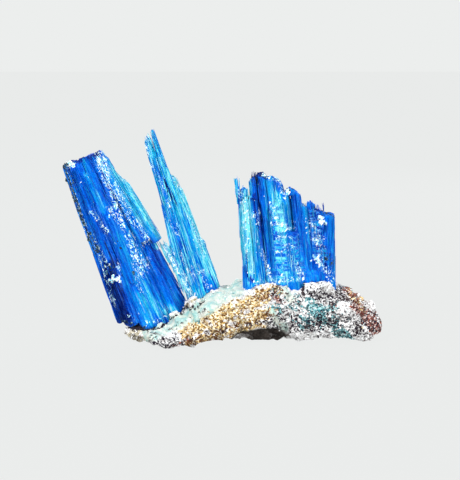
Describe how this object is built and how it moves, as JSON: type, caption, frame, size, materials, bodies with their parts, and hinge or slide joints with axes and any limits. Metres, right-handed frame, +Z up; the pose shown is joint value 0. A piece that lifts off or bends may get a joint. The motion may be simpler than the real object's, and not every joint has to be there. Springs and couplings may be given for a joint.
{
  "type": "chalcanthite specimen",
  "caption": "Natural mineral specimen: a leaning slab, a tall spire and a cluster of blue fibrous crystal columns on a low lump of weathered matrix rock, free-standing.",
  "frame": {"origin": "middle of the specimen's bounding box seen from above, on the plane it rests on", "axes": "+X along the length of the rock, to the viewer's right in the picture; +Y away from the viewer; +Z up"},
  "size_m": [0.0902, 0.0294, 0.0598],
  "materials": {
    "matrix": "rough, crumbly, weathered: pale cyan-white, ochre, rust and black speckles",
    "broad_blade": "silky, fibrous, slightly see-through deep blue with cyan edges",
    "tall_spire": "silky, fibrous, slightly see-through cyan blue",
    "column_cluster": "silky, fibrous, slightly see-through blue with pale fibres and ledges"
  },
  "bodies": {
    "root": {"matrix": "matrix", "broad_blade": "broad_blade", "tall_spire": "tall_spire", "column_cluster": "column_cluster"}
  },
  "joints": []
}
